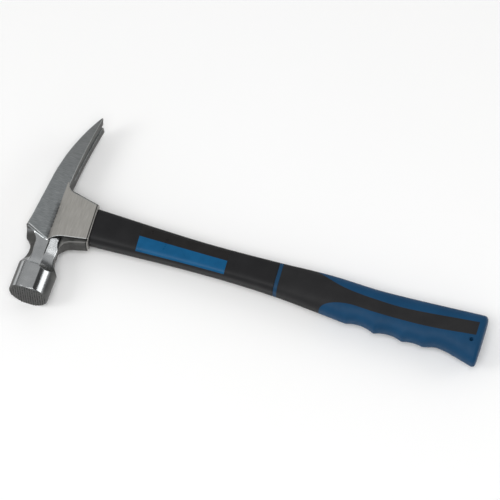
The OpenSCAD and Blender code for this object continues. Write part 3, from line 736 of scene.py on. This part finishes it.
def makeShaft():
    # jacket from the socket's mouth to the band, and the band as far as the grip
    h = handle
    black = plasticFinish("jacketBlack", (0.0135, 0.0135, 0.0145, 1), (0.018, 0.018, 0.019, 1), 0.42, 2600)
    rows = lipRows(h["mouth"], h["band"], 0.6, 1.5)
    makeTube("shaftJacket", rows, black, "jacket_black", "handle_jacket")
    blue = plasticFinish("bandBlue", (0.010, 0.045, 0.098, 1), (0.013, 0.053, 0.115, 1), 0.46, 2600)
    rows = lipRows(h["band"], h["bandEnd"], 0.5, 0.4)
    makeTube("gripBand", rows, blue, "band_blue", "grip_band")


grip = {"panelEnd": 382.4,
        "upper": [[222, 20.9], [238, 13.4], [262, 5.8], [296, 2.9], [321, 2.9], [382.4, 9.3]],
        "noseX": 244.6, "noseEnd": 274.6, "noseY": 7.83, "noseDrop": 12.57,
        "lower": [[274.6, 7.83], [297.8, 8.7], [339.5, 7.917], [382.4, 3.5]],
        "hole": (379.6, -8.4, 1.8), "pip": (356.4, 0.4, 1.0), "wall": 1.8, "lip": 0.35}


def upperEdge(x):
    # smooth line along the top of the panel; before its first station it lies off the section
    first = grip["upper"][0][0]
    return np.where(x < first, 30.0, smoothCurve(grip["upper"], np.clip(x, first, grip["panelEnd"])))


def lowerEdge(x):
    # quarter ellipse round the nose, then a smooth line to the panel's end
    g = grip
    u = np.clip((g["noseEnd"] - x) / (g["noseEnd"] - g["noseX"]), 0, 1)
    nose = g["noseY"] + g["noseDrop"] * (1 - np.sqrt(1 - u * u))
    line = smoothCurve(g["lower"], np.clip(x, g["noseEnd"], g["panelEnd"]))
    return -np.where(x < g["noseX"], 40.0, np.where(x < g["noseEnd"], nose, line))


def gripNet():
    # one net over the whole grip, with lines of it drawn along the edges of the side panels:
    # psi runs from the back to the upper edge, down the panel to the lower edge, and round the belly
    h, g = handle, grip
    seek = np.arange(g["upper"][0][0], 260, 0.01)  # where each edge first comes onto the section
    t = leanAt(seek)
    tipU = seek[np.argmax(upperEdge(seek) < smoothCurve(h["back"], seek + t * upperEdge(seek)))]
    tipL = seek[np.argmax(-lowerEdge(seek) < bellyAt(seek + t * lowerEdge(seek)))]
    after = np.array([0, .02, .06, .12, .2, .32, .48, .68, .92, 1.2, 1.55, 2.0, 2.5])
    x = np.concatenate([np.linspace(h["bandEnd"], tipU - 0.3, 34), tipU + after, tipL - after[1:4],
                        tipL + after, np.arange(tipU + 3.2, tipL - 0.3, 0.7),
                        np.arange(tipL + 3.2, g["panelEnd"] - 0.3, 0.75), [g["panelEnd"]]])
    x = np.unique(np.round(x, 4))
    end = len(x) - 1
    a = np.radians(np.linspace(0, 90, 8))
    x = np.concatenate([x, [h["butt"] - 5], h["butt"] - h["buttRound"] * (1 - np.sin(a))])
    inset = np.concatenate([np.zeros(end + 2), h["buttRound"] * (1 - np.cos(a))])
    up, low, t = upperEdge(x), lowerEdge(x), leanAt(x)
    turnU, turnL = turnOf(up, x + t * up), turnOf(low, x + t * low)
    turnU = np.where(x < tipU, 0, turnU)
    turnL = np.where(x < tipL, math.pi, turnL)
    n1, n2, n3 = 14, 40, 44  # steps over the back's half, a panel and the belly
    s1, s2, s3 = (np.arange(n)[None, :] / n for n in (n1, n2, n3))
    u, l = turnU[:, None], turnL[:, None]
    psi = np.concatenate([u * s1, u + (l - u) * s2, l + 2 * (math.pi - l) * s3,
                          2 * math.pi - l + (l - u) * s2, 2 * math.pi - u + u * s1], axis=1)
    kind = np.concatenate([np.full(n, k) for n, k in ((n1, 0), (n2, 1), (n3, 0), (n2, 1), (n1, 0))])
    lean = ease(h["bandEnd"] + 2, tipU - 1, x) * (x < g["panelEnd"] + 0.5)
    xs = np.repeat(x[:, None], psi.shape[1], axis=1)
    for _ in range(2):
        y = sectionAt(xs, psi)[..., 1]
        yb = np.clip(y, np.maximum(low, -30)[:, None], np.minimum(up, 30)[:, None])
        xs = x[:, None] + (lean * t)[:, None] * yb
    p = sectionAt(xs, psi, inset[:, None])
    rim = p[-1]
    mid = rim.mean(axis=0)
    cap = np.stack([mid + (rim - mid) * f for f in (0.94, 0.8, 0.6, 0.35, 0.12, 0.0)])
    p = np.concatenate([p, cap])
    return p, kind, end


def rubberFinish(name, low, high, rough):
    # dull rubber: slow drift of colour, fine pebbles and rubbed patches
    s = Finish(name)
    cloud = s.noise(s.coords, 45, 4.0)
    pebble = s.node("ShaderNodeTexVoronoi", Vector=s.coords, Scale=1500.0).outputs["Distance"]
    wear = s.noise(s.coords, 220, 4.0, 0.6)
    return s.put(**{"Base Color": s.mix(s.span(cloud, 0.3, 0.7, 0, 1), low, high),
                    "Roughness": s.span(wear, 0.3, 0.7, rough - 0.06, rough + 0.08),
                    "Specular IOR Level": 0.15,
                    "Normal": s.bump(pebble, 0.16, 0.0002, s.bump(wear, 0.06, 0.0004))})


def makeGrip():
    # the net's panel cells make the black sleeve, the rest the blue cover; each gets a wall inwards
    g = grip
    p, kind, end = gripNet()
    rows, cols = p.shape[:2]
    faces = gridFaces(rows, cols, closeCols=True).reshape(rows - 1, cols, 4)
    panel = np.zeros((rows - 1, cols), bool)
    panel[:end] = kind[None, :] == 1
    flat = p.reshape(-1, 3)
    black = rubberFinish("gripBlack", (0.0155, 0.0155, 0.0165, 1), (0.021, 0.021, 0.022, 1), 0.56)
    blue = rubberFinish("gripBlue", (0.004, 0.043, 0.106, 1), (0.006, 0.053, 0.128, 1), 0.52)
    made = []
    for name, share, material, slot, node in (("gripPanels", panel, black, "grip_black", "grip_sleeve"),
                                              ("gripCover", ~panel, blue, "grip_blue", "grip_cover")):
        piece = makePiece(name, *weld(flat, faces[share]), material, slot, node)
        wall = piece.modifiers.new("wall", "SOLIDIFY")
        wall.thickness, wall.offset, wall.use_even_offset = g["wall"] * mm, -1.0, False
        lip = piece.modifiers.new("lip", "BEVEL")
        lip.width, lip.segments, lip.limit_method = g["lip"] * mm, 2, "ANGLE"
        lip.angle_limit = math.radians(60)
        made.append(piece)
    return made


def boreHole(cover):
    # round prism taken out of the cover's walls,
    # and a sleeve of the same rubber that joins the two openings
    x, y, r = grip["hole"]
    turns = np.linspace(0, 2 * math.pi, 48, endpoint=False)

    def ring(radius, z):
        return np.stack([x + radius * np.cos(turns), y + radius * np.sin(turns), 0 * turns + z], axis=-1)

    tool = np.stack([ring(0, -20), ring(r, -20), ring(r, 20), ring(0, 20)])
    cutter = makePiece("cutter", *weld(tool.reshape(-1, 3), gridFaces(4, 48, closeCols=True)),
                       cover.data.materials[0], "grip_blue")
    cut = cover.modifiers.new("hole", "BOOLEAN")
    cut.object, cut.solver = cutter, "EXACT"
    cover.modifiers.move(len(cover.modifiers) - 1, 1)
    shape = bpy.data.meshes.new_from_object(cover.evaluated_get(bpy.context.evaluated_depsgraph_get()))
    cover.modifiers.clear()
    cover.data = shape
    bpy.data.objects.remove(cutter)
    tube = np.stack([ring(r, -11.8), ring(r + 0.7, -11.8), ring(r + 0.7, 11.8), ring(r, 11.8)])
    makePiece("holeSleeve", *weld(tube.reshape(-1, 3), gridFaces(4, 48, closeRows=True, closeCols=True)),
              shape.materials[0], "grip_blue")


def makePip(material):
    # small moulding gate on the upper panel: a low dome with a dimple, turned about its own axis
    x, y, r = grip["pip"]
    rings = np.linspace(0, 1, 12)
    turns = np.linspace(0, 2 * math.pi, 40, endpoint=False)
    f, a = np.meshgrid(rings, turns, indexing="ij")
    px, py = x + r * f * np.cos(a), y + r * f * np.sin(a)
    xs = px + leanAt(px) * py
    top = sectionAt(xs, turnOf(py, xs))
    top[..., 2] += 0.3 * (1 - f ** 4) - 0.22 * np.exp(-(f / 0.4) ** 2) - 0.06 * (f == 1)
    foot = top.copy()[-1:]
    foot[..., 2] -= 1.0
    p = np.concatenate([top, foot, foot * 0 + foot.mean(axis=1, keepdims=True)])
    faces = gridFaces(*p.shape[:2], closeCols=True)[:, ::-1]
    makePiece("gatePip", *weld(p.reshape(-1, 3), faces), material, "grip_black")


label = {"x": (76.0, 156.5), "reach": (-0.912, 0.745), "thick": 0.24, "blueTo": 0.585}


def labelFinish():
    # film that is blue up to one line across it and near-black above
    s = Finish("labelFilm")
    uv = s.node("ShaderNodeSeparateXYZ", Vector=s.tree.nodes["Texture Coordinate"].outputs["UV"])
    v = uv.outputs["Y"]
    cloud = s.noise(s.coords, 80, 3.0)
    line = s.span(v, label["blueTo"] - 0.004, label["blueTo"] + 0.004, 0, 1)
    blue = s.mix(s.span(cloud, 0.3, 0.7, 0, 1), (0.004, 0.074, 0.180, 1), (0.006, 0.092, 0.220, 1))
    dark = s.mix(s.span(cloud, 0.3, 0.7, 0, 1), (0.014, 0.013, 0.013, 1), (0.019, 0.018, 0.018, 1))
    return s.put(**{"Base Color": s.mix(line, blue, dark), "Specular IOR Level": 0.12,
                    "Roughness": s.span(cloud, 0.3, 0.7, 0.26, 0.36),
                    "Normal": s.bump(s.noise(s.coords, 900, 3.0), 0.05, 0.0001)})


def makeLabel():
    # patch of the handle's own section, lifted by the film's thickness and turned down at its rim
    l = label
    start, end = l["x"]
    x = np.concatenate([[start] * 2, np.linspace(start + 0.1, end - 0.1, 90), [end] * 2])
    v = np.concatenate([[0, 0], np.linspace(0.004, 0.996, 40), [1, 1]])
    xs, vv = np.meshgrid(x, v, indexing="ij")
    n = smoothCurve(handle["power"], xs)
    ends = [np.arctan2((1 - abs(f) ** n) ** (1 / n), f) for f in l["reach"]]
    psi = ends[0] + (ends[1] - ends[0]) * vv
    lift = np.full(xs.shape, -l["thick"])
    lift[[1, -2], :] = -l["thick"] * 0.8
    lift[:, [1, -2]] = -l["thick"] * 0.8
    lift[[0, -1], :] = 0.1
    lift[:, [0, -1]] = 0.1
    p = sectionAt(xs, psi, lift).reshape(-1, 3)
    quads = gridFaces(len(x), len(v))[:, ::-1]
    piece = makePiece("sideLabel", p, quads, np.zeros((0, 3), int), labelFinish(), "label", "side_label")
    film = piece.modifiers.new("film", "SOLIDIFY")
    film.thickness, film.offset = 0.3 * mm, -1.0
    uv = np.stack([(xs - start) / (end - start), vv], axis=-1).reshape(-1, 2)
    layer = piece.data.uv_layers.new(name="film")
    loops = np.empty(len(piece.data.loops), np.int32)
    piece.data.loops.foreach_get("vertex_index", loops)
    layer.data.foreach_set("uv", uv[loops].astype(np.float32).ravel())


def dressNodes():
    # the two solids that stay in sight at the eye: cloudy resin and lengthwise strands of glass
    resin = Finish("epoxyResin")
    cloud = resin.noise(resin.coords, 180, 3.0)
    colour = resin.mix(resin.span(cloud, 0.3, 0.7, 0, 1), (0.20, 0.13, 0.05, 1), (0.34, 0.23, 0.10, 1))
    resin.put(**{"Base Color": colour, "Roughness": resin.span(cloud, 0.3, 0.7, 0.22, 0.4),
                 "Normal": resin.bump(resin.noise(resin.coords, 500, 3.0), 0.2, 0.0003)})
    glass = Finish("fibreglass")
    strands = glass.noise(glass.stretched((25, 1800, 1800)), 1.0, 4.0)
    colour = glass.mix(glass.span(strands, 0.3, 0.7, 0, 1), (0.42, 0.38, 0.20, 1), (0.58, 0.54, 0.33, 1))
    glass.put(**{"Base Color": colour, "Roughness": glass.span(strands, 0.3, 0.7, 0.35, 0.55),
                 "Normal": glass.bump(strands, 0.2, 0.0002)})
    for node, finish in (("epoxy_bond", resin), ("fibreglass_core", glass)):
        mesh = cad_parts[node].data
        mesh.materials.clear()
        mesh.materials.append(finish.material)
    print("resin and core dressed")


setCamera()
setStudio()
makePoll(makeHead())
makeFace()
makeShaft()
panels, cover = makeGrip()
boreHole(cover)
makePip(panels.data.materials[0])
makeLabel()
dressNodes()
bpy.context.view_layer.update()
